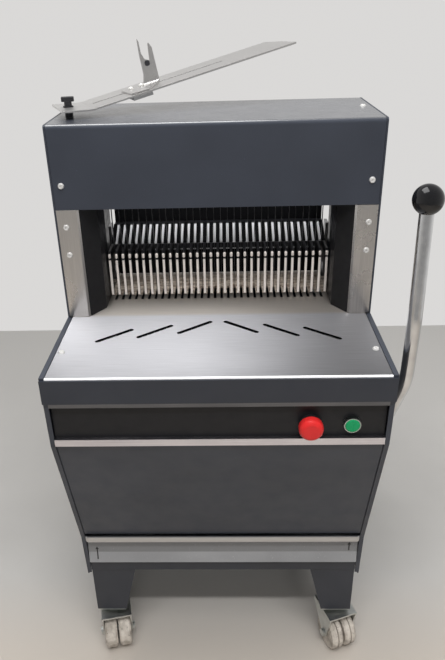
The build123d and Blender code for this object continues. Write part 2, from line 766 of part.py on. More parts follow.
def motor():
    """Ribbed motor with a fan cowl, a flange, a terminal box on top and a foot plate on the base."""
    right = MOTOR_RIGHT
    body = rod_x((MOTOR_LEFT, right), MOTOR_Y, MOTOR_Z, MOTOR_R - 6.0)
    body += rod_x((MOTOR_LEFT - 40.0, MOTOR_LEFT), MOTOR_Y, MOTOR_Z, MOTOR_R - 2.0)
    body += rod_x((right - 12.0, right), MOTOR_Y, MOTOR_Z, MOTOR_R)
    ribs = 9
    spacing = (right - 30.0 - MOTOR_LEFT) / ribs
    for i in range(ribs):
        start = MOTOR_LEFT + 10.0 + i * spacing
        body += rod_x((start, start + 4.0), MOTOR_Y, MOTOR_Z, MOTOR_R)
    top = MOTOR_Z + MOTOR_R
    foot = RAIL_HIGH + MOTOR_FOOT
    box = (MOTOR_LEFT + 60.0, MOTOR_LEFT + 150.0)
    body += block(box, (MOTOR_Y - 32.0, MOTOR_Y + 32.0), (top - 30.0, top + 26.0))
    body += block((MOTOR_LEFT, right - 4.0), (MOTOR_Y - 72.0, MOTOR_Y + 72.0), (RAIL_HIGH, foot))
    for x in (MOTOR_LEFT + 20.0, right - 28.0):
        body += block((x, x + 8.0), (MOTOR_Y - 50.0, MOTOR_Y + 50.0), (foot, MOTOR_Z))
    return [body]


# Lever and pusher

ARM_X = CARRIAGE_X + 9.0
HUB_R = 20.0
HUB_SPAN = (HALF + 2.0, HALF + 27.0)
ARM_LEAN = SWING / 2


def roller_place():
    """Place of a swing-arm roller at rest, as (Y, Z)."""
    lean = radians(ARM_LEAN)
    return (LEVER_Y - STROKE * sin(lean), LEVER_Z + STROKE * cos(lean))


def lever_shaft():
    """Cross shaft with a swing arm and roller inside each side of the machine."""
    shaft = rod_x((-(INNER - 4.0), HUB_SPAN[1] + 2.0), LEVER_Y, LEVER_Z, SHAFT_R)
    shaft += rod_x(HUB_SPAN, LEVER_Y, LEVER_Z, HUB_R)
    tip = roller_place()
    side = (ARM_X, ARM_X + 8.0)
    flank = beside((LEVER_Y, LEVER_Z), tip, 13.0) + beside(tip, (LEVER_Y, LEVER_Z), 13.0)
    arm = slab_yz(flank, side)
    arm += rod_x(side, LEVER_Y, LEVER_Z, 24.0)
    arm += rod_x(side, *tip, 14.0)
    arm += rod_x((CARRIAGE_X - 2.0, ARM_X), *tip, ROLLER_R)
    for part in both_sides(arm):
        shaft += part
    return [shaft]


LEVER_HEEL = (LEVER_Y - 98.0, LEVER_Z + 200.0)
LEVER_KNEE = (LEVER_Y - 102.0, LEVER_Z + 314.0)
LEVER_TOP = (LEVER_Y - 90.0, LEVER_Z + 503.0)
LEVER_R = 11.0
LEVER_BEND = 110.0
BALL_R = 23.0
BALL_SEAT = BALL_R - 3.0


def lever_tube():
    """Chrome tube with two bends from the hub close to the right panel out and up to the ball."""
    foot = (sum(HUB_SPAN) / 2, *toward((LEVER_Y, LEVER_Z), LEVER_HEEL, HUB_R - 2.0))
    end = toward(LEVER_TOP, LEVER_KNEE, BALL_SEAT)
    points = [(LEVER_X, *p) for p in (LEVER_HEEL, LEVER_KNEE, end)]
    path = FilletPolyline(foot, *points, radius=LEVER_BEND)
    start = Plane(origin=path @ 0, z_dir=path % 0)
    tube = sweep(start * Circle(LEVER_R), path=path)
    return [tube - rod_x(HUB_SPAN, LEVER_Y, LEVER_Z, HUB_R)]


def lever_ball():
    """Black ball on the top of the lever, with a short neck over the tube."""
    top = Pos(LEVER_X, *LEVER_TOP) * Sphere(BALL_R)
    end = toward(LEVER_TOP, LEVER_KNEE, BALL_SEAT)
    away = toward(LEVER_TOP, LEVER_KNEE, 2 * BALL_R)
    axis = Plane(origin=(LEVER_X, *end), z_dir=(0, away[0] - end[0], away[1] - end[1]))
    return [top - extrude(axis * Circle(LEVER_R), amount=BALL_R)]


PUSHER_Y = BLADE_Y - 34.0
BACK_Y = BLADE_Y + 89.0
BACK_THICK = 3.0
BACK_TOP = HOOD_BOTTOM - 12.0
BACK_LOW = TABLE_Z + 2.0
PUSHER_LOW = TABLE_Z + 7.0
FINGER_TALL = 95.0
ARM_TOP = TABLE_Z + FINGER_TALL
SLOPE_LOW = (BLADE_Y + 21.4, ARM_TOP - 2.3)
SLOPE_HIGH = (BLADE_Y + 70.0, ARM_TOP + 22.0)
PLATE = 3.0
COMB_REACH = COMB_HALF + 4.0


def slope_under():
    """Underside of the sloped plate: its low corner, its bend and its back corner."""
    low, high = beside(SLOPE_LOW, SLOPE_HIGH, -PLATE)
    rise = (high[1] - low[1]) / (high[0] - low[0])
    level = SLOPE_HIGH[1] - PLATE
    bend = (low[0] + (level - low[1]) / rise, level)
    return low, bend, (BACK_Y, level)


def pusher_comb():
    """Bright plate behind the blades: teeth between the fingers, a slope, and a level to the back plate."""
    low, bend, back = slope_under()
    outline = [SLOPE_LOW, SLOPE_HIGH, (BACK_Y, SLOPE_HIGH[1]), back, bend, low]
    plate = slab_yz(outline, (-COMB_REACH, COMB_REACH))
    tooth_y = (SLOPE_LOW[0], SLOPE_LOW[0] + PLATE)
    tooth_z = (SLOPE_LOW[1] - 14.0, SLOPE_LOW[1])
    tooth_half = 3.5
    for x in BLADE_XS:
        plate += block((x - tooth_half, x + tooth_half), tooth_y, tooth_z)
    return [plate]


def pusher_ribs():
    """Low black rib on the sloped plate behind every finger."""
    width = 0.6 * PITCH
    height = 2.0
    top = beside(SLOPE_LOW, SLOPE_HIGH, height)
    ribs = []
    for x in FINGER_XS:
        ribs.append(slab_yz([SLOPE_LOW, *top, SLOPE_HIGH], (x - width / 2, x + width / 2)))
    return ribs


def pusher_fingers():
    """Upright fingers below a row of long beads; each arm runs back between two blades to the comb plate."""
    width = 4.4
    thick = 6.0
    set_back = 3.0
    arm_low = ARM_TOP - 14.0
    neck = arm_low - 2.0
    low, bend, back = slope_under()
    outline = [
        (PUSHER_Y, PUSHER_LOW),
        (PUSHER_Y, neck),
        (PUSHER_Y + set_back, neck),
        (PUSHER_Y + set_back, ARM_TOP - set_back),
        (PUSHER_Y + thick, ARM_TOP),
        (SLOPE_LOW[0] - 6.0, ARM_TOP),
        SLOPE_LOW,
        low,
        bend,
        (bend[0] + 6.0, bend[1]),
        (bend[0] + 6.0, bend[1] - 13.0),
        (low[0] + 10.0, arm_low),
        (PUSHER_Y + thick, arm_low),
        (PUSHER_Y + thick, PUSHER_LOW),
    ]
    bead_r = 2.7
    bead_place = (PUSHER_Y + 1.0, ARM_TOP - 8.25)
    bead = Cylinder(bead_r, 9.5)
    bead = fillet(bead.edges().filter_by(GeomType.CIRCLE), 0.9 * bead_r)
    fingers = []
    for x in FINGER_XS:
        finger = slab_yz(outline, (x - width / 2, x + width / 2))
        fingers.append(finger + Pos(x, *bead_place) * bead)
    return fingers


def pusher_back_plate():
    """Black upright plate behind the comb."""
    return [block((-COMB_REACH, COMB_REACH), (BACK_Y, BACK_Y + BACK_THICK), (BACK_LOW, BACK_TOP))]


def pusher_carriage():
    """Side plates below the tables with a roller slot, a riser each, a cross bar and four bushings."""
    tip_y, tip_z = roller_place()
    side = (CARRIAGE_X, CARRIAGE_X + CARRIAGE_THICK)
    rear = BACK_Y + BACK_THICK + 8.0
    plate = block(side, (tip_y - 26.0, rear), (CARRIAGE_LOW, CARRIAGE_HIGH))
    plate += block(side, (rear - 26.0, rear), (CARRIAGE_HIGH, TABLE_Z + 112.0))
    slot_top = LEVER_Z + STROKE + ROLLER_R + ROLLER_PLAY
    slot_low = tip_z - ROLLER_R - ROLLER_PLAY
    slot_half = ROLLER_R + ROLLER_PLAY
    plate -= block(side, (tip_y - slot_half, tip_y + slot_half), (slot_low, slot_top))
    for y in (tip_y + 30.0, rear - 40.0):
        height = (RAIL_Z - BUSH_HALF, RAIL_Z + BUSH_HALF)
        bush = block((RAIL_X - BUSH_HALF, CARRIAGE_X), (y, y + 30.0), height)
        plate += bush - rod_y(RAIL_X, (y, y + 30.0), RAIL_Z, RAIL_R + RUNNING_FIT)
    bar_height = (TABLE_Z + 20.0, TABLE_Z + 78.0)
    carriage = block((-CARRIAGE_X, CARRIAGE_X), (BACK_Y + BACK_THICK, rear), bar_height)
    for part in both_sides(plate):
        carriage += part
    return [carriage]


def pusher_guide_rods():
    """Rod on each side from a bracket on the side panel behind the control panel to the rear panel."""
    face = (PANEL_Y + 4.0, PANEL_Y + 10.0)
    height = (RAIL_Z - 16.0, TABLE_Z - 17.0)
    rod = rod_y(RAIL_X, (face[1], REAR - SKIN - 1.0), RAIL_Z, RAIL_R)
    rod += block((RAIL_X - 14.0, HALF - FLANGE), face, height)
    rod += block((HALF - FLANGE, INNER), (face[0], face[0] + 36.0), height)
    return both_sides(rod)


# Buttons


def contact_block(x, half, depth):
    """Square switch body behind the control panel."""
    return block((x - half, x + half), (PANEL_Y + SKIN, PANEL_Y + depth), (BUTTON_Z - half, BUTTON_Z + half))


def stop_collar():
    """Fixed collar and contact block of the emergency stop."""
    collar = rod_y(STOP_X, (PANEL_Y - 5.0, PANEL_Y), BUTTON_Z, 17.0)
    collar += rod_y(STOP_X, (PANEL_Y, PANEL_Y + SKIN), BUTTON_Z, BUTTON_HOLE_R)
    collar += contact_block(STOP_X, 15.0, 40.0)
    return [collar - rod_y(STOP_X, (PANEL_Y - 5.0, PANEL_Y + 20.0), BUTTON_Z, STOP_STEM_R + RUNNING_FIT)]


def stop_button():
    """Red mushroom with a domed head on a round stem."""
    back = PANEL_Y - 10.5
    head = rod_y(STOP_X, (back - 16.0, back), BUTTON_Z, STOP_HEAD_R)
    rim = head.edges().filter_by(GeomType.CIRCLE).sort_by(Axis.Y)
    head = fillet(rim[0], 9.0)
    head += rod_y(STOP_X, (back, PANEL_Y + 14.0), BUTTON_Z, STOP_STEM_R)
    return [head]


def start_bezel():
    """Chrome ring and contact block of the start button."""
    rise = 9.0
    ring = rod_y(START_X, (PANEL_Y - rise, PANEL_Y), BUTTON_Z, START_R + 1.9)
    ring = fillet(ring.edges().filter_by(GeomType.CIRCLE).sort_by(Axis.Y)[0], 0.8)
    ring += rod_y(START_X, (PANEL_Y, PANEL_Y + SKIN), BUTTON_Z, BUTTON_HOLE_R)
    ring += contact_block(START_X, 13.5, 22.0)
    return [ring - rod_y(START_X, (PANEL_Y - rise, PANEL_Y + 20.0), BUTTON_Z, START_R + RUNNING_FIT)]


def start_button():
    """Green button that stands a little out of its ring, with a rounded rim."""
    lens = rod_y(START_X, (PANEL_Y - 10.5, PANEL_Y + 14.0), BUTTON_Z, START_R)
    return [fillet(lens.edges().filter_by(GeomType.CIRCLE).sort_by(Axis.Y)[0], 2.0)]


# Bag arm on the hood

ARM_PIVOT = (25.0 - HALF, HOOD_FRONT + 93.0)
ARM_HEADING = 23.8
ARM_RISE = 12.6
ARM_THICK = 3.0
ARM_Z = HOOD_TOP + 12.0
ARM_FRONT = -49.0
ARM_BACK = 46.0
ARM_TAB = (-20.0, 32.0)
ARM_LENGTH = 399.0
ARM_MIDDLE = (ARM_FRONT + ARM_BACK) / 2
SLOT_WIDTH = 6.0
SLOT_ENDS = (12.0, 268.0)
STUD_R = 4.0
STUD_HIGH = 13.0
WASHER = 1.4
LOOSE = 0.3
STOP_AT = 96.0
STOP_SHEET = 2.5


def arm_tab_frame():
    """Level frame at the clamp stud, with its X along the arm in plan."""
    return Pos(*ARM_PIVOT, ARM_Z) * Rot(0, 0, ARM_HEADING)


def arm_slope_frame():
    """Frame on top of the sloping part of the arm, with its X up the slope."""
    return arm_tab_frame() * Pos(ARM_TAB[1], 0, 0) * Rot(0, -ARM_RISE, 0)


def bag_arm():
    """Bent stainless arm: a level tab under the knob and a long slotted blade."""
    lap = ARM_THICK * tan(radians(ARM_RISE / 2))
    tab = block(ARM_TAB, (ARM_FRONT, ARM_BACK), (0, ARM_THICK))
    tab -= rod_z(0, 0, (0, ARM_THICK), STUD_R + RUNNING_FIT)
    blade = [
        (-lap, ARM_FRONT),
        (ARM_LENGTH, ARM_FRONT),
        (ARM_LENGTH - 4.0, ARM_MIDDLE),
        (ARM_LENGTH - 16.0, ARM_BACK),
        (-lap, ARM_BACK),
    ]
    plate = slab_xy(blade, (0, ARM_THICK))
    slot_side = (ARM_MIDDLE - SLOT_WIDTH / 2, ARM_MIDDLE + SLOT_WIDTH / 2)
    plate -= block(SLOT_ENDS, slot_side, (0, ARM_THICK))
    return [arm_tab_frame() * tab + arm_slope_frame() * plate]


def arm_spacer():
    """Black spacer and stud on the hood that the arm turns on, and a washer on top of the arm."""
    spacer = rod_z(*ARM_PIVOT, (HOOD_TOP, ARM_Z - LOOSE), STUD_R + 3.0)
    spacer += rod_z(*ARM_PIVOT, (HOOD_TOP, ARM_Z + STUD_HIGH), STUD_R)
    low = ARM_Z + ARM_THICK + LOOSE
    washer = rod_z(*ARM_PIVOT, (low, low + WASHER), STUD_R + 5.0)
    return [spacer, washer - rod_z(*ARM_PIVOT, (low, low + WASHER), STUD_R + RUNNING_FIT)]


def arm_knob():
    """Black T-shaped clamp knob on the stud."""
    low = ARM_Z + ARM_THICK + WASHER + 2 * LOOSE
    neck = 7.0
    half = 11.0
    bar = fillet(block((-half, half), (-half / 2, half / 2), (low + neck, low + neck + 8.0)).edges(), 1.5)
    knob = rod_z(0, 0, (low, low + neck + 1.0), STUD_R + 2.5) + bar
    knob -= rod_z(0, 0, (low, ARM_Z + STUD_HIGH + LOOSE), STUD_R + RUNNING_FIT)
    return [Pos(*ARM_PIVOT, 0) * Rot(0, 0, 12.0) * knob]


def bag_stop():
    """Fork that slides on the arm: a foot below two screws, bent up into a strip with two prongs."""
    low = ARM_THICK + LOOSE
    high = low + STOP_SHEET
    left, right = STOP_AT + 20.0, STOP_AT + 46.0
    bend = ARM_MIDDLE + STOP_SHEET
    foot = [
        (STOP_AT - 25.0, ARM_MIDDLE + 15.0),
        (STOP_AT - 21.0, ARM_FRONT + 8.0),
        (STOP_AT + 12.0, ARM_FRONT + 3.0),
        (right, ARM_MIDDLE),
        (right, bend),
        (left, bend),
        (left - 8.0, ARM_MIDDLE + 15.0),
    ]
    strip = [
        (left - 6.0, low),
        (right, low),
        (right + 1.0, low + 58.0),
        (right - 3.0, low + 67.0),
        (right - 5.0, low + 65.0),
        (right - 9.0, low + 39.0),
        (left + 9.0, low + 43.0),
        (left + 5.0, low + 54.0),
        (left + 6.0, low + 73.0),
        (left + 4.0, low + 78.0),
        (left + 1.0, low + 50.0),
        (left, low + 20.0),
    ]
    fork = slab_xy(foot, (low, high)) + slab_xz(strip, (ARM_MIDDLE, bend))
    inside = fork.edges().filter_by(Axis.X).sort_by_distance((left, ARM_MIDDLE, high))[0]
    return [arm_slope_frame() * fillet(inside, 2 * STOP_SHEET)]


def bag_stop_clamp():
    """Two domed screws through the slot and the dark clamp plate below the arm."""
    low = ARM_THICK + LOOSE + STOP_SHEET
    head_r = 4.7
    head_tall = 4.0
    along = (STOP_AT - 22.0, STOP_AT + 14.0)
    clamp = block(along, (ARM_FRONT - 2.0, ARM_MIDDLE + 12.0), (-5.0 - LOOSE, -LOOSE))
    heads = []
    for x in (STOP_AT - 10.0, STOP_AT + 10.0):
        clamp += rod_z(x, ARM_MIDDLE, (-LOOSE, LOOSE + ARM_THICK), SLOT_WIDTH / 2 - 0.5)
        head = rod_z(x, ARM_MIDDLE, (low, low + head_tall), head_r)
        heads.append(fillet(head.edges().group_by(Axis.Z)[-1], head_tall - 0.8))
    return [arm_slope_frame() * part for part in (clamp, *heads)]


# Screws


def screw_head(place):
    """Low round screw head with a hexagon socket, its seat at the frame's origin and its crown along Z."""
    head = Cone(5.5, 4.2, 3.0, align=(Align.CENTER, Align.CENTER, Align.MIN))
    socket = extrude(Pos(0, 0, 1.4) * RegularPolygon(2.2, 6), amount=2.0)
    return place * (head - socket)


def cover_screws():
    """Screws of the hood, posts and table."""
    edge = HALF - 18.0
    heads = []
    for z in (HOOD_BOTTOM + 42.0, HOOD_BOTTOM - 31.0, HOOD_BOTTOM - 82.0):
        heads.append(screw_head(Pos(edge, HOOD_FRONT, z) * Rot(90, 0, 0)))
        heads.append(screw_head(Pos(-edge, HOOD_FRONT, z) * Rot(90, 0, 0)))
    heads.append(screw_head(Pos(edge, FRONT + 86.0, TABLE_Z)))
    heads.append(screw_head(Pos(-edge, FRONT + 86.0, TABLE_Z)))
    heads.append(screw_head(Pos(edge, HOOD_FRONT + 125.0, HOOD_TOP)))
    return heads


def write(node, solids):
    """Write the solids of one piece as one STEP file."""
    flat = [solid for shape in solids for solid in shape.solids()]
    shape = flat[0] if len(flat) == 1 else Compound(flat)
    export_step(shape, f"parts/{node}.step")


def main():
    os.makedirs("parts", exist_ok=True)
    singles = (
        hood_cover, post_plates, guide_cheeks, front_table, rear_table, side_liners, front_apron,
        trim_strips, control_panel, lower_front_panel, rear_panel, cable_gland, base_frame, legs,
        caster_plates, crumb_drawer, drawer_handle, drawer_runners, frame_guide_rods, crankshaft,
        crank_pulley, motor_pulley, drive_belt, shaft_bearings, motor, lever_shaft, lever_tube, lever_ball,
        pusher_comb, pusher_ribs, pusher_fingers, pusher_back_plate, pusher_carriage, pusher_guide_rods,
        stop_collar, stop_button, start_bezel, start_button, bag_arm, arm_spacer, arm_knob, bag_stop,
        bag_stop_clamp, cover_screws,
    )
    for make in singles:
        write(make.__name__, make())
    write("left_side_panel", side_panel(-1))
    write("right_side_panel", side_panel(1))
    for name in ("front", "rear"):
        write(f"{name}_blade_frame", blade_frame(name))
        write(f"{name}_blades", blade_set(name))
        write(f"{name}_connecting_rods", connecting_rods(name))
    for name in CASTERS:
        write(f"{name}_fork", caster_fork(name))
        write(f"{name}_wheels", caster_wheels(name))


main()
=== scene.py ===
"""Looks of the lever bread slicer: finishes, small details, floor, light and camera."""

from math import radians

import bpy
from mathutils import Matrix, Vector


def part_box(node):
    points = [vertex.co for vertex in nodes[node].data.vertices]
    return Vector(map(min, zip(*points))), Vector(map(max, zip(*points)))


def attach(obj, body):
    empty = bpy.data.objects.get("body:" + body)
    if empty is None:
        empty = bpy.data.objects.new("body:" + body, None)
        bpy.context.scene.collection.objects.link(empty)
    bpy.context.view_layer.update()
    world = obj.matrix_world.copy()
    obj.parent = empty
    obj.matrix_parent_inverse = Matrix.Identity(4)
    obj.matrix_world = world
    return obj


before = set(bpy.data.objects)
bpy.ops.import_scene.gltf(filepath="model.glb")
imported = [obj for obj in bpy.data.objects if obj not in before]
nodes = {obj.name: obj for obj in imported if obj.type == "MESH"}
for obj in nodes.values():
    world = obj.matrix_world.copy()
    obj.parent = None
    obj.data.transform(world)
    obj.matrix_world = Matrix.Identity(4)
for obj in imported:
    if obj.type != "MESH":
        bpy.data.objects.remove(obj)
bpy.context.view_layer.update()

# Camera, fitted to the photo: its place in metres, its angles in degrees and its lens
IMAGE_WIDTH = 445
IMAGE_HEIGHT = 660
CAMERA_PLACE = (0.0173, -1.1572, 1.2800)
CAMERA_PITCH = 27.0
CAMERA_YAW = 2.1
CAMERA_ROLL = -1.7
FOCAL_PIXELS = 646.3
CENTRE_PIXEL = (206.5, 328.5)
SENSOR = 36.0

# Lights: place, target, width and depth in metres, watts, and whether shiny surfaces mirror them
LIGHTS = {
    "ceiling": ((0.4, -0.5, 2.9), (0.4, -0.5, 0.0), (2.4, 2.4), 54.0, False),
    "tube": ((0.1, -1.64, 2.9), (0.1, -0.2, 0.3), (2.4, 0.12), 40.0, False),
    "panel": ((-0.35, 0.0, 2.7), (-0.35, 0.0, 0.0), (1.1, 1.5), 21.0, True),
    "front": ((0.4, -2.9, 1.6), (0.1, 0.0, 0.6), (1.8, 1.8), 25.0, False),
    "under_hood": ((0.0, 0.065, 0.956), (0.0, 0.065, 0.0), (0.42, 0.09), 0.42, False),
    "under_comb": ((0.0, 0.07, 0.826), (0.0, 0.07, 0.0), (0.36, 0.04), 0.045, False),
}

# Room: its wall and its even light, and how its mirror image dims overhead and on the camera's side,
# each as two limits of the direction and the brightness at both
WALL = (0.70, 0.69, 0.68)
EVEN_TONE = (1.0, 0.99, 0.98)
EVEN_LIGHT = 0.03
DIM_OVERHEAD = (0.1, 0.8, 1.0, 0.6)
DIM_IN_FRONT = (-0.9, 0.2, 0.45, 1.0)

# Floor: tones, how far it reaches before the wall begins, and the stretches of Y where its tone changes
FLOOR = (0.54, 0.525, 0.502)
FLOOR_WARM = (0.55, 0.50, 0.445)
FLOOR_HALF_WIDTH = 2.2
FLOOR_FRONT = -2.2
FLOOR_BACK = 1.355
WARM_TO_PALE = (-0.22, 0.0)
PALE_TO_FAR = (0.4, 1.2)

# Tones of the finishes; a pair is the dark and the light of fine lines
ANTHRACITE = (0.034, 0.039, 0.052)
BLACK = (0.007, 0.007, 0.008)
FINGER_BRIGHT = (0.86, 0.79, 0.73)
COMB_BRIGHT = (0.81, 0.81, 0.83)
TABLE_STEEL = (0.70, 0.70, 0.73)
# Painted shade of the hood on the table behind the hood's front
HOOD_SHADE_STEEL = (0.85, 0.80, 0.75)
# Painted highlight on the table's rolled front edge
PAINTED_EDGE_HIGHLIGHT = (0.95, 0.95, 0.96)
LOADING_STEEL = (0.60, 0.60, 0.61)
# Crumb stains, lightened in part as painted light where little light reaches
CRUMBS_AND_PAINTED_LIGHT = (0.80, 0.69, 0.58)
CRUMB_STAIN = (0.34, 0.25, 0.19)
TRIM_BRIGHT = ((0.70, 0.68, 0.72), (0.83, 0.81, 0.85))
# Grey pair of the trim: painted shade on its upper strip
TRIM_SHADED = ((0.16, 0.163, 0.175), (0.20, 0.203, 0.215))
CLAMP_DARK = (0.30, 0.30, 0.30)
CLAMP_HEAD = (0.85, 0.84, 0.81)
NYLON = (0.63, 0.575, 0.51)
NYLON_DIRT = (0.30, 0.265, 0.225)
NYLON_SCUFF = (0.14, 0.125, 0.11)

# Fine lines of brushed metal: how many in a metre, and how far they are drawn out
LINES_PER_METRE = 1300.0
LINE_STRETCH = 0.012

# Radius that the light sees on every edge, in metres
EDGE_RADIUS = 0.0008

# Where tones change on a piece, in metres from one of its edges, and how softly on both sides
SOFT = 0.0002
PAINT_SOFT = 0.0005
COAT_EDGE = 0.0013
HOOD_SHADE = 0.004
HOOD_SHADE_SOFT = 0.006
HOLE_RIM = 0.0004
ROLLED_EDGE = 0.0026
STAIN_REACH = 0.11
STAIN_SOFT = 0.02
FINGER_FACE = 0.0038
FINGER_NECK = (0.0717, 0.07365)
RIB_BACK = 0.001
RIB_FOOT = 0.001
TOOTH_TIP = 0.0026
CLAMP_HEAD_FOOT = 0.00325

# Arrow marks on the drawer: X, foot and tip of each, half of the line's width, and the drawer's face
ARROWS = {"left_arrow": (-0.2533, 0.266, 0.297), "right_arrow": (0.2545, 0.287, 0.308)}
ARROW_LINE = 0.0012
ARROW_HEAD = 0.006
PAINT = 0.0002
DRAWER_BEND = 0.283
DRAWER_KICK = 0.004
DRAWER_SLOPE = 0.16

# Frame of the bag arm's slope, and the clip on its fork in that frame
ARM_PIVOT = (-0.255, 0.015, 1.116)
ARM_HEADING = 23.8
ARM_RISE = 12.6
ARM_TAB = 0.032
CLIP_SIZE = 0.009
CLIP_MIDDLE = (0.1275, 0.039)
CLIP_FACES = (-0.0028, 0.0022)


def shade(colour, factor):
    """The colour made darker or lighter by a factor."""
    return tuple(min(1.0, c * factor) for c in colour)


def feed(tree, socket, value):
    """Link an output to the socket, or set the socket to a plain value."""
    if isinstance(value, bpy.types.NodeSocket):
        tree.links.new(value, socket)
    else:
        socket.default_value = value


def map_range(tree, value, limits):
    """Value spread from the first two limits to the last two, and held at its ends."""
    made = tree.nodes.new("ShaderNodeMapRange")
    tree.links.new(value, made.inputs["Value"])
    for name, number in zip(("From Min", "From Max", "To Min", "To Max"), limits):
        made.inputs[name].default_value = number
    return made.outputs["Result"]


class Finish:
    """One material: a Principled shader and short calls for the nodes that feed it."""

    def __init__(self, name, colour, roughness, metallic=0.0, **sockets):
        self.material = bpy.data.materials.new(name)
        self.material.use_nodes = True
        self.tree = self.material.node_tree
        self.shader = self.tree.nodes["Principled BSDF"]
        self.place = self.tree.nodes.new("ShaderNodeTexCoord").outputs["Object"]
        self.put("Base Color", (*colour, 1.0))
        self.put("Roughness", roughness)
        self.put("Metallic", metallic)
        for socket, value in sockets.items():
            self.put(socket.replace("_", " "), value)

    def put(self, socket, value):
        """Set a shader socket to a value, or link an output to it."""
        feed(self.tree, self.shader.inputs[socket], value)

    def node(self, kind, **inputs):
        """New node with the named inputs set or linked."""
        made = self.tree.nodes.new(kind)
        for name, value in inputs.items():
            feed(self.tree, made.inputs[name.replace("_", " ")], value)
        return made

    def split(self):
        """The place on the surface as separate X, Y and Z outputs."""
        return self.node("ShaderNodeSeparateXYZ", Vector=self.place).outputs

    def noise(self, per_metre, detail=3.0, stretch=(1.0, 1.0, 1.0)):
        """Noise with so many grains in a metre, drawn out along the axes where stretch is below one."""
        scale = tuple(per_metre * s for s in stretch)
        mapped = self.node("ShaderNodeMapping", Vector=self.place, Scale=scale).outputs["Vector"]
        return self.node("ShaderNodeTexNoise", Vector=mapped, Scale=1.0, Detail=detail).outputs["Fac"]

    def lines(self, along):
        """Noise of fine lines along one axis."""
        return self.noise(LINES_PER_METRE, 4.0, [LINE_STRETCH if axis == along else 1.0 for axis in "XYZ"])

    def remap(self, value, low, high, out_low=0.0, out_high=1.0):
        """Value between low and high, spread over the out range and held at its ends."""
        return map_range(self.tree, value, (low, high, out_low, out_high))

    def above(self, value, level, soft=SOFT):
        """One above the level and zero below it, with a soft change."""
        return self.remap(value, level - soft, level + soft)

    def below(self, value, level, soft=SOFT):
        """One below the level and zero above it, with a soft change."""
        return self.remap(value, level - soft, level + soft, 1.0, 0.0)

    def mix(self, share, colour, other):
        """Blend of two colours, each a triple or an output."""
        made = self.tree.nodes.new("ShaderNodeMix")
        made.data_type = "RGBA"
        self.tree.links.new(share, made.inputs["Factor"])
        for name, value in zip(("A", "B"), (colour, other)):
            socket = [i for i in made.inputs if i.name == name and i.type == "RGBA"][0]
            feed(self.tree, socket, (*value, 1.0) if isinstance(value, tuple) else value)
        return [o for o in made.outputs if o.type == "RGBA"][0]

    def brush(self, along):
        """Fine lines along one axis, with a slight relief, that spread light across them."""
        across = self.node("ShaderNodeTangent")
        across.direction_type = "RADIAL"
        across.axis = along
        self.put("Tangent", across.outputs["Tangent"])
        lines = self.lines(along)
        self.bump(lines, 0.00004, 0.5)
        return lines

    def bump(self, height, depth, strength=1.0):
        """Surface relief of that depth in metres, over edges that are softened a little."""
        soft = self.node("ShaderNodeBevel", Radius=EDGE_RADIUS).outputs["Normal"]
        made = self.node("ShaderNodeBump", Height=height, Strength=strength, Distance=depth, Normal=soft)
        self.put("Normal", made.outputs["Normal"])


def powder_coat(name, colour, wiped_above=None, painted_shade_above=None):
    """Satin powder coat: orange peel, mottling and dust, glossier where wiped, duller where dirty, and
    darker above a given level as painted shade.
    """
    finish = Finish(name, colour, 0.36, Coat_Roughness=0.25, Coat_IOR=3.35)
    height = finish.split()["Z"]
    if wiped_above is not None:
        finish.put("Coat Weight", finish.above(height, wiped_above, PAINT_SOFT))
    mottle = finish.remap(finish.noise(7.0, 6.0), 0.3, 0.7)
    body = finish.mix(mottle, shade(colour, 0.88), shade(colour, 1.12))
    # Painted shade: the paint darker above the given level
    if painted_shade_above is not None:
        body = finish.mix(finish.above(height, painted_shade_above, PAINT_SOFT), body, shade(colour, 0.7))
    dust = finish.remap(finish.noise(420.0, 2.0), 0.68, 0.8, 0.0, 0.35)
    finish.put("Base Color", finish.mix(dust, body, shade(colour, 3.0)))
    finish.put("Roughness", finish.remap(finish.noise(30.0, 4.0), 0.3, 0.7, 0.36, 0.5))
    finish.bump(finish.noise(900.0, 2.0), 0.00012, 0.5)
    return finish.material


def brushed(name, colour, along, roughness=(0.24, 0.36)):
    """Brushed metal: fine lines along one axis, and smudges."""
    finish = Finish(name, colour, roughness[0], metallic=1.0)
    streak = finish.mix(finish.remap(finish.brush(along), 0.3, 0.7), shade(colour, 0.88), shade(colour, 1.1))
    smudges = finish.remap(finish.noise(11.0, 5.0), 0.35, 0.75)
    finish.put("Base Color", finish.mix(smudges, streak, colour))
    finish.put("Roughness", finish.remap(finish.noise(9.0, 6.0), 0.3, 0.72, *roughness))
    return finish.material


def polished(name, colour, roughness, metallic=1.0):
    """Plated or polished metal with faint wipe marks."""
    finish = Finish(name, colour, roughness, metallic=metallic)
    wiped = finish.remap(finish.noise(60.0, 5.0), 0.4, 0.75)
    finish.put("Base Color", finish.mix(wiped, colour, shade(colour, 0.86)))
    finish.put("Roughness", finish.remap(finish.noise(40.0, 6.0), 0.3, 0.75, roughness, roughness * 2.2))
    finish.bump(finish.noise(500.0, 3.0), 0.00001, 0.4)
    return finish.material


def moulded(name, colour, roughness, worn=1.3, gloss=0.5):
    """Moulded plastic: slight tone change, fine grain and handling marks in the gloss."""
    finish = Finish(name, colour, roughness, Specular_IOR_Level=gloss)
    mottle = finish.remap(finish.noise(45.0, 5.0), 0.35, 0.75)
    handled = finish.noise(70.0, 5.0)
    finish.put("Base Color", finish.mix(mottle, colour, shade(colour, worn)))
    finish.put("Roughness", finish.remap(handled, 0.3, 0.7, roughness * 0.8, roughness * 1.35))
    finish.bump(finish.noise(1600.0, 2.0), 0.00004, 0.5)
    return finish.material


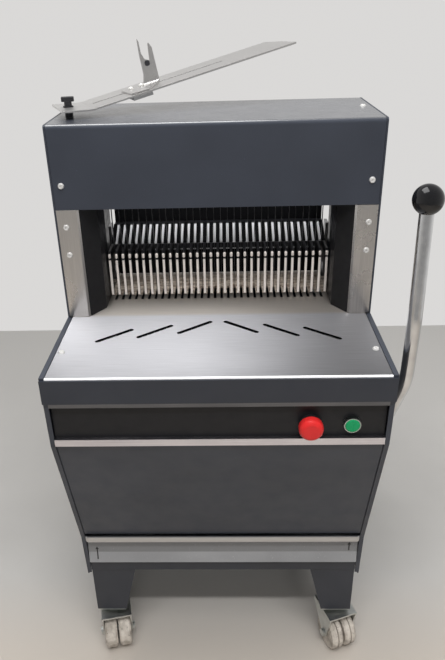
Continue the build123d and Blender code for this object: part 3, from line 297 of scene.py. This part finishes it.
def table_metal():
    """Table top: lines across the machine that spread mirror images, with painted shade in front, painted
    light towards the hood and painted shade of the hood below it.

    The walls of its holes are dark with painted shade, and its rolled front edge carries a painted highlight
    in white.
    """
    finish = Finish("table_metal", TABLE_STEEL, 0.5, Anisotropic=0.95)
    low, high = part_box("front_table")
    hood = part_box("hood_cover")[0].y
    place = finish.split()
    streak = finish.remap(finish.brush("X"), 0.3, 0.7)
    # Painted shade in front and painted light towards the hood: the tone rises from the front edge to the
    # hood
    dull = finish.mix(streak, shade(TABLE_STEEL, 0.66), shade(TABLE_STEEL, 0.8))
    bright = finish.mix(streak, shade(TABLE_STEEL, 1.1), shade(TABLE_STEEL, 1.3))
    body = finish.mix(finish.remap(place["Y"], low.y, hood), dull, bright)
    # Painted shade of the hood: a warmer, darker tone behind its front
    painted_hood_shadow = finish.above(place["Y"], hood + HOOD_SHADE, HOOD_SHADE_SOFT)
    body = finish.mix(painted_hood_shadow, body, finish.mix(streak, shade(HOOD_SHADE_STEEL, 0.9), HOOD_SHADE_STEEL))
    # Painted shade: black on the walls of the holes, below the top face
    wall = finish.below(place["Z"], high.z - HOLE_RIM)
    # Painted highlight: white, not metallic, on the rolled front edge
    flat = finish.above(place["Y"], low.y + ROLLED_EDGE)
    finish.put("Base Color", finish.mix(flat, PAINTED_EDGE_HIGHLIGHT, finish.mix(wall, body, shade(BLACK, 0.5))))
    finish.put("Metallic", flat)
    finish.put("Roughness", finish.remap(finish.noise(9.0, 6.0), 0.3, 0.72, 0.5, 0.58))
    return finish.material


def loading_metal():
    """Loading table: satin steel with long streaks, and crumb stains in front, where the pusher stops, in a
    lighter tone that is partly painted light.
    """
    finish = Finish("loading_metal", LOADING_STEEL, 0.5)
    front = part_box("rear_table")[0].y
    crumb_and_light_share = finish.below(finish.split()["Y"], front + STAIN_REACH, STAIN_SOFT)
    streaks = finish.remap(finish.noise(160.0, 4.0, (0.05, 1.0, 1.0)), 0.35, 0.65)
    stains = finish.remap(finish.noise(90.0, 5.0), 0.42, 0.68)
    # Crumb stains in a tone lightened in part as painted light
    dull = finish.mix(streaks, shade(CRUMBS_AND_PAINTED_LIGHT, 0.6), shade(CRUMBS_AND_PAINTED_LIGHT, 1.15))
    clean = finish.mix(streaks, shade(LOADING_STEEL, 0.9), shade(LOADING_STEEL, 1.1))
    finish.put("Base Color", finish.mix(crumb_and_light_share, clean, finish.mix(stains, dull, CRUMB_STAIN)))
    finish.put("Metallic", finish.remap(crumb_and_light_share, 0.0, 1.0, 0.9, 0.2))
    finish.put("Roughness", finish.remap(stains, 0.0, 1.0, 0.42, 0.65))
    finish.bump(streaks, 0.00005, 0.5)
    return finish.material


def trim_metal():
    """Satin strip metal: bright below the control panel, painted grey above it as the shade under the apron.
    """
    finish = Finish("trim_metal", TRIM_BRIGHT[0], 0.38, metallic=1.0)
    middle = sum(corner.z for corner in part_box("control_panel")) / 2
    # Painted shade: grey above the middle of the control panel
    upper = finish.above(finish.split()["Z"], middle)
    lines = finish.remap(finish.lines("X"), 0.3, 0.7)
    bright = finish.mix(lines, *TRIM_BRIGHT)
    grey = finish.mix(lines, *TRIM_SHADED)
    finish.put("Base Color", finish.mix(upper, bright, grey))
    finish.put("Roughness", finish.remap(finish.noise(12.0, 5.0), 0.3, 0.7, 0.34, 0.5))
    finish.bump(lines, 0.00003, 0.5)
    return finish.material


def finger_metal():
    """Satin fingers in their own bright tone with wear marks on their front faces and beads, and painted
    shade in black on the neck and on the arms behind.
    """
    finish = Finish("finger_metal", FINGER_BRIGHT, 0.5)
    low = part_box("pusher_fingers")[0]
    place = finish.split()
    front = finish.below(place["Y"], low.y + FINGER_FACE, PAINT_SOFT)
    finger = finish.below(place["Z"], low.z + FINGER_NECK[0])
    bead = finish.above(place["Z"], low.z + FINGER_NECK[1])
    marks = finish.remap(finish.noise(260.0, 4.0, (1.0, 1.0, 0.25)), 0.3, 0.75)
    worn = finish.mix(marks, FINGER_BRIGHT, shade(FINGER_BRIGHT, 0.78))
    # Painted shade: black on the neck below the bead and on the arms behind the front faces
    black = shade(BLACK, 2.0)
    bright = finish.mix(finger, finish.mix(bead, black, worn), worn)
    finish.put("Base Color", finish.mix(front, black, bright))
    finish.put("Roughness", finish.remap(marks, 0.0, 1.0, 0.42, 0.6))
    finish.bump(marks, 0.00005, 0.5)
    return finish.material


def comb_metal():
    """Bright satin slope of the comb, dimmer at its foot as painted shade, between black teeth and a ledge
    painted black as shade.
    """
    finish = Finish("comb_metal", COMB_BRIGHT, 0.36, metallic=0.1)
    low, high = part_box("pusher_ribs")
    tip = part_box("pusher_comb")[0].z
    place = finish.split()
    ledge = finish.above(place["Y"], high.y - RIB_BACK, PAINT_SOFT)
    tooth = finish.below(place["Z"], low.z - RIB_FOOT)
    edge = finish.below(place["Z"], tip + TOOTH_TIP)
    lines = finish.remap(finish.noise(700.0, 3.0, (1.0, 0.02, 0.02)), 0.3, 0.7)
    height = finish.remap(place["Z"], low.z, high.z)
    black = shade(BLACK, 2.0)
    bright = finish.mix(lines, shade(COMB_BRIGHT, 0.94), COMB_BRIGHT)
    # Painted shade: the slope darker towards its foot
    slope = finish.mix(height, shade(COMB_BRIGHT, 0.45), bright)
    slope = finish.mix(tooth, slope, finish.mix(edge, black, bright))
    # Painted shade: black on the ledge behind the ribs
    finish.put("Base Color", finish.mix(ledge, slope, black))
    finish.put("Roughness", finish.remap(finish.noise(25.0, 5.0), 0.3, 0.7, 0.3, 0.42))
    finish.bump(lines, 0.00003, 0.5)
    return finish.material


def arm_slope():
    """Frame of the bag arm's slope: from its pivot over the level tab and up the rise."""
    heading = Matrix.Translation(ARM_PIVOT) @ Matrix.Rotation(radians(ARM_HEADING), 4, "Z")
    return heading @ Matrix.Translation((ARM_TAB, 0.0, 0.0)) @ Matrix.Rotation(radians(-ARM_RISE), 4, "Y")


def clamp_metal():
    """Dark zinc plate below the bag arm, and the bright heads of its screws above the arm."""
    finish = Finish("clamp_metal", CLAMP_DARK, 0.3, metallic=0.6)
    slope = arm_slope()
    upright = slope.col[2].to_3d()
    height = finish.tree.nodes.new("ShaderNodeVectorMath")
    height.operation = "DOT_PRODUCT"
    feed(finish.tree, height.inputs[0], finish.place)
    feed(finish.tree, height.inputs[1], upright)
    head = finish.above(height.outputs["Value"], upright.dot(slope.translation) + CLAMP_HEAD_FOOT)
    wiped = finish.remap(finish.noise(60.0, 5.0), 0.4, 0.75)
    body = finish.mix(wiped, CLAMP_DARK, shade(CLAMP_DARK, 0.86))
    finish.put("Base Color", finish.mix(head, body, CLAMP_HEAD))
    finish.bump(finish.noise(500.0, 3.0), 0.00001, 0.4)
    return finish.material


def worn_nylon():
    """Off-white wheel plastic with grey floor dirt and scuffs."""
    finish = Finish("worn_nylon", NYLON, 0.55)
    dirt = finish.remap(finish.noise(55.0, 6.0), 0.40, 0.72)
    scuff = finish.remap(finish.noise(240.0, 4.0), 0.6, 0.75)
    finish.put("Base Color", finish.mix(scuff, finish.mix(dirt, NYLON, NYLON_DIRT), NYLON_SCUFF))
    finish.put("Roughness", finish.remap(dirt, 0.0, 1.0, 0.42, 0.75))
    finish.bump(finish.noise(300.0, 4.0), 0.0003, 0.5)
    return finish.material


def floor_finish():
    """Pale screed with slow clouds of tone and a fine grain, warmer in tone in front, and lighter far back
    as painted light.
    """
    finish = Finish("pale_floor", FLOOR, 0.6)
    depth = finish.split()["Y"]
    cloud = finish.remap(finish.noise(2.3, 6.0), 0.3, 0.7)
    body = finish.mix(cloud, shade(FLOOR, 0.93), shade(FLOOR, 1.06))
    # Painted light: the floor lighter far back, where the lamps reach less
    body = finish.mix(finish.remap(depth, *PALE_TO_FAR), body, shade(FLOOR, 1.22))
    # Warmer tone towards the front
    worn = finish.remap(depth, *WARM_TO_PALE, 1.0, 0.0)
    finish.put("Base Color", finish.mix(worn, body, FLOOR_WARM))
    finish.bump(finish.noise(60.0, 4.0), 0.0004, 0.3)
    return finish.material


hood_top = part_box("hood_cover")[1].z

LOOKS = [
    (powder_coat("anthracite", ANTHRACITE), (
        "left_side_panel", "right_side_panel", "lower_front_panel", "rear_panel")),
    # The anthracite paint made darker on the apron, base frame and legs: painted shade
    (powder_coat("painted_shade_anthracite", shade(ANTHRACITE, 0.7)), ("front_apron", "base_frame", "legs")),
    (powder_coat("hood_paint", ANTHRACITE, wiped_above=hood_top - COAT_EDGE), ("hood_cover",)),
    # The drawer's face darker above its bend: painted shade of the lip above it
    (powder_coat("light_grey", (0.28, 0.285, 0.295), painted_shade_above=DRAWER_BEND + PAINT_SOFT), ("crumb_drawer",)),
    (powder_coat("motor_blue_grey", (0.11, 0.14, 0.18)), ("motor",)),
    (table_metal(), ("front_table",)),
    (loading_metal(), ("rear_table",)),
    (brushed("post_steel", (0.72, 0.69, 0.66), "Z"), ("post_plates",)),
    (brushed("arm_steel", (0.76, 0.75, 0.74), "X", (0.34, 0.46)), ("bag_arm", "bag_stop")),
    (finger_metal(), ("pusher_fingers",)),
    (comb_metal(), ("pusher_comb",)),
    (brushed("lip_steel", (0.56, 0.565, 0.575), "X", (0.3, 0.42)), ("drawer_handle",)),
    (trim_metal(), ("trim_strips",)),
    (brushed("blade_steel", (0.22, 0.22, 0.225), "Z", (0.4, 0.55)), ("front_blades", "rear_blades")),
    (brushed("machined_steel", (0.42, 0.42, 0.43), "X", (0.35, 0.5)), (
        "front_blade_frame", "rear_blade_frame", "frame_guide_rods",
        "crankshaft", "crank_pulley", "motor_pulley", "front_connecting_rods", "rear_connecting_rods",
        "shaft_bearings", "lever_shaft", "pusher_carriage", "pusher_guide_rods")),
    (polished("screw_steel", (0.86, 0.85, 0.83), 0.25, metallic=0.5), ("cover_screws",)),
    (polished("chrome", (0.74, 0.745, 0.75), 0.13), ("lever_tube",)),
    (polished("ring_chrome", (0.55, 0.62, 0.58), 0.25), ("start_bezel",)),
    (polished("zinc", (0.70, 0.72, 0.70), 0.26), (
        "caster_plates", "front_left_fork", "front_right_fork", "rear_left_fork", "rear_right_fork",
        "drawer_runners")),
    (clamp_metal(), ("bag_stop_clamp",)),
    (moulded("black_panel", shade(BLACK, 1.4), 0.4), ("guide_cheeks", "side_liners")),
    (moulded("panel_film", shade(BLACK, 1.4), 0.35, gloss=0.3), ("control_panel",)),
    (moulded("matt_black", shade(BLACK, 0.5), 0.6, gloss=0.1), ("pusher_back_plate", "pusher_ribs")),
    (moulded("black_plastic", shade(BLACK, 2.0), 0.45), (
        "arm_spacer", "arm_knob", "stop_collar", "cable_gland")),
    (moulded("ball_plastic", shade(BLACK, 0.8), 0.08), ("lever_ball",)),
    (moulded("red_plastic", (0.60, 0.022, 0.022), 0.33, worn=1.12, gloss=0.35), ("stop_button",)),
    (moulded("green_plastic", (0.006, 0.28, 0.10), 0.28, worn=1.15, gloss=0.25), ("start_button",)),
    (moulded("belt_rubber", shade(BLACK, 3.0), 0.65), ("drive_belt",)),
    (worn_nylon(), ("front_left_wheels", "front_right_wheels", "rear_left_wheels", "rear_right_wheels")),
]

for material, names in LOOKS:
    for name in names:
        for slot in nodes[name].material_slots:
            slot.material = material


def add_mesh(name, points, faces, material):
    """New object from points in metres and the corners of each face."""
    mesh = bpy.data.meshes.new(name)
    mesh.from_pydata(points, [], faces)
    mesh.materials.append(material)
    made = bpy.data.objects.new(name, mesh)
    bpy.context.scene.collection.objects.link(made)
    return made


def add_arrow(name, x, foot, tip):
    """Upward arrow in black paint on the drawer's face, which kicks out below its bend."""
    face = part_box("crumb_drawer")[0].y + DRAWER_KICK
    bend = max(foot, DRAWER_BEND)
    neck = tip - ARROW_HEAD
    rows = [
        (foot, ARROW_LINE),
        (bend, ARROW_LINE),
        (neck, ARROW_LINE),
        (neck, 3 * ARROW_LINE),
        (tip, ARROW_LINE / 4),
    ]
    points = []
    faces = []
    for z, half in rows:
        y = face - max(0.0, DRAWER_BEND - z) * DRAWER_SLOPE
        corners = ((x - half, y), (x + half, y), (x + half, y - PAINT), (x - half, y - PAINT))
        for corner_x, corner_y in corners:
            points.append((corner_x, corner_y, z))
    for row in range(len(rows) - 1):
        start = 4 * row
        for side in range(4):
            following = (side + 1) % 4
            faces.append((start + side, start + following, start + 4 + following, start + 4 + side))
    faces += [(3, 2, 1, 0), tuple(range(len(points) - 4, len(points)))]
    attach(add_mesh(name, points, faces, moulded("arrow_paint", BLACK, 0.5)), "drawer")


def add_fork_clip():
    """Dark spring clip over the strip of the fork, below its notch, with cut corners."""
    slope = arm_slope()
    half = CLIP_SIZE / 2
    cut = CLIP_SIZE / 4
    corners = []
    for sign_x, sign_z in ((-1, -1), (1, -1), (1, 1), (-1, 1)):
        near = (sign_x * half, sign_z * (half - cut))
        far = (sign_x * (half - cut), sign_z * half)
        corners += [near, far] if sign_x * sign_z > 0 else [far, near]
    count = len(corners)
    points = []
    for y in CLIP_FACES:
        for along, up in corners:
            points.append(slope @ Vector((CLIP_MIDDLE[0] + along, y, CLIP_MIDDLE[1] + up)))
    faces = [tuple(range(count)), tuple(reversed(range(count, 2 * count)))]
    for i in range(count):
        following = (i + 1) % count
        faces.append((following, i, i + count, following + count))
    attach(add_mesh("fork_clip", points, faces, moulded("clip_steel", shade(BLACK, 3.0), 0.35)), "bag_fork")


def add_floor():
    """Pale floor that ends in a straight line below the wall."""
    corners = [
        (-FLOOR_HALF_WIDTH, FLOOR_FRONT),
        (FLOOR_HALF_WIDTH, FLOOR_FRONT),
        (FLOOR_HALF_WIDTH, FLOOR_BACK),
        (-FLOOR_HALF_WIDTH, FLOOR_BACK),
    ]
    points = [(x, y, 0.0) for x, y in corners]
    add_mesh("floor", points, [tuple(range(len(points)))], floor_finish())


def add_light(name, place, target, size, watts, mirrored):
    """Soft light that faces its target, so wide along X and Y, and that shiny surfaces mirror or not."""
    lamp = bpy.data.lights.new(name, "AREA")
    lamp.shape = "RECTANGLE"
    lamp.size, lamp.size_y = size
    lamp.energy = watts
    holder = bpy.data.objects.new(name, lamp)
    holder.visible_glossy = mirrored
    holder.visible_camera = False
    holder.location = place
    holder.rotation_euler = (Vector(target) - Vector(place)).to_track_quat("-Z", "Y").to_euler()
    bpy.context.scene.collection.objects.link(holder)


class Room:
    """The room round the object: what the eye sees, what shiny surfaces mirror, and the even light."""

    def __init__(self):
        world = bpy.data.worlds.new("studio")
        world.use_nodes = True
        bpy.context.scene.world = world
        self.tree = world.node_tree
        rays = self.tree.nodes.new("ShaderNodeLightPath")
        even = self.background(EVEN_TONE, EVEN_LIGHT)
        wall = self.background(WALL, 1.0)
        mirrored = self.background(WALL, self.mirror_tone())
        lit = self.choose(rays.outputs["Is Glossy Ray"], even, mirrored)
        lit = self.choose(rays.outputs["Is Transmission Ray"], lit, wall)
        lit = self.choose(rays.outputs["Is Camera Ray"], lit, wall)
        self.tree.links.new(lit, self.tree.nodes["World Output"].inputs["Surface"])

    def background(self, colour, strength):
        """Background of one colour, its strength a number or an output."""
        made = self.tree.nodes.new("ShaderNodeBackground")
        feed(self.tree, made.inputs["Color"], (*colour, 1.0))
        feed(self.tree, made.inputs["Strength"], strength)
        return made.outputs["Background"]

    def choose(self, share, first, second):
        """First where share is zero, second where it is one."""
        made = self.tree.nodes.new("ShaderNodeMixShader")
        for socket, value in zip(made.inputs, (share, first, second)):
            self.tree.links.new(value, socket)
        return made.outputs["Shader"]

    def mirror_tone(self):
        """Brightness by direction: dimmer overhead, and on the side that the photo was taken from."""
        way = self.tree.nodes.new("ShaderNodeTexCoord").outputs["Generated"]
        split = self.tree.nodes.new("ShaderNodeSeparateXYZ")
        self.tree.links.new(way, split.inputs[0])
        product = self.tree.nodes.new("ShaderNodeMath")
        product.operation = "MULTIPLY"
        for socket, axis, limits in zip(product.inputs, "ZY", (DIM_OVERHEAD, DIM_IN_FRONT)):
            self.tree.links.new(map_range(self.tree, split.outputs[axis], limits), socket)
        return product.outputs["Value"]


def add_camera():
    """Camera at the photo's place and angle, with the shift of the photo's framing."""
    lens = bpy.data.cameras.new("camera")
    long_side = max(IMAGE_WIDTH, IMAGE_HEIGHT)
    lens.sensor_width = SENSOR
    lens.lens = FOCAL_PIXELS * SENSOR / long_side
    lens.shift_x = (IMAGE_WIDTH / 2 - CENTRE_PIXEL[0]) / long_side
    lens.shift_y = (CENTRE_PIXEL[1] - IMAGE_HEIGHT / 2) / long_side
    camera = bpy.data.objects.new("camera", lens)
    turn = Matrix.Rotation(radians(CAMERA_YAW), 4, "Z")
    tilt = Matrix.Rotation(radians(90.0 - CAMERA_PITCH), 4, "X")
    roll = Matrix.Rotation(radians(CAMERA_ROLL), 4, "Z")
    camera.matrix_world = Matrix.Translation(CAMERA_PLACE) @ turn @ tilt @ roll
    bpy.context.scene.collection.objects.link(camera)
    bpy.context.scene.camera = camera


for arrow, place in ARROWS.items():
    add_arrow(arrow, *place)
add_fork_clip()
add_floor()
Room()
for light, settings in LIGHTS.items():
    add_light(light, *settings)
add_camera()
bpy.context.scene.view_settings.view_transform = "Standard"
